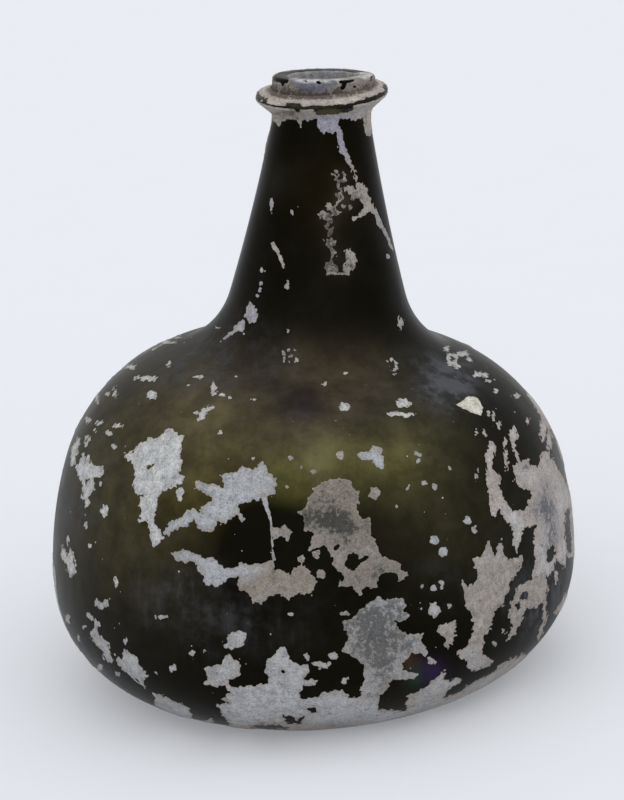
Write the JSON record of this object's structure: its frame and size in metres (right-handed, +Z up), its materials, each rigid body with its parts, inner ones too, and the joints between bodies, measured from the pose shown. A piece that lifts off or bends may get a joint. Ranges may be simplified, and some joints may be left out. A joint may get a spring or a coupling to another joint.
{
  "type": "onion bottle",
  "caption": "Squat free-blown onion bottle of dark olive glass with a flared neck, wound string rim, pushed-up base and flaking pale crust; stands on a table and holds liquid.",
  "frame": {"origin": "on the table below the middle of the belly", "axes": "+Z up, -Y towards the viewer of the picture, +X to the right, the side that the neck leans to"},
  "size_m": [0.1452, 0.1456, 0.166],
  "materials": {
    "olive_glass": "deep olive, almost black, glossy with dulled patches",
    "trail_glass": "deep olive, tooled, partly dulled",
    "scar_glass": "rough broken glass",
    "pale_crust": "matt, silvery grey to beige",
    "buff_crust": "matt, mottled buff and grey",
    "rosy_crust": "matt, pinkish beige"
  },
  "bodies": {
    "root": {"glass_body": "olive_glass", "string_rim": "trail_glass", "pontil_scar": "scar_glass", "lip_crust": "pale_crust", "rim_upper_crust": "pale_crust", "rim_lower_crust": "pale_crust", "neck_crust": "pale_crust", "shoulder_crust": "pale_crust", "left_crust": "pale_crust", "front_crust": "buff_crust", "right_crust": "rosy_crust", "back_crust": "buff_crust", "heel_crust": "pale_crust"}
  },
  "joints": []
}
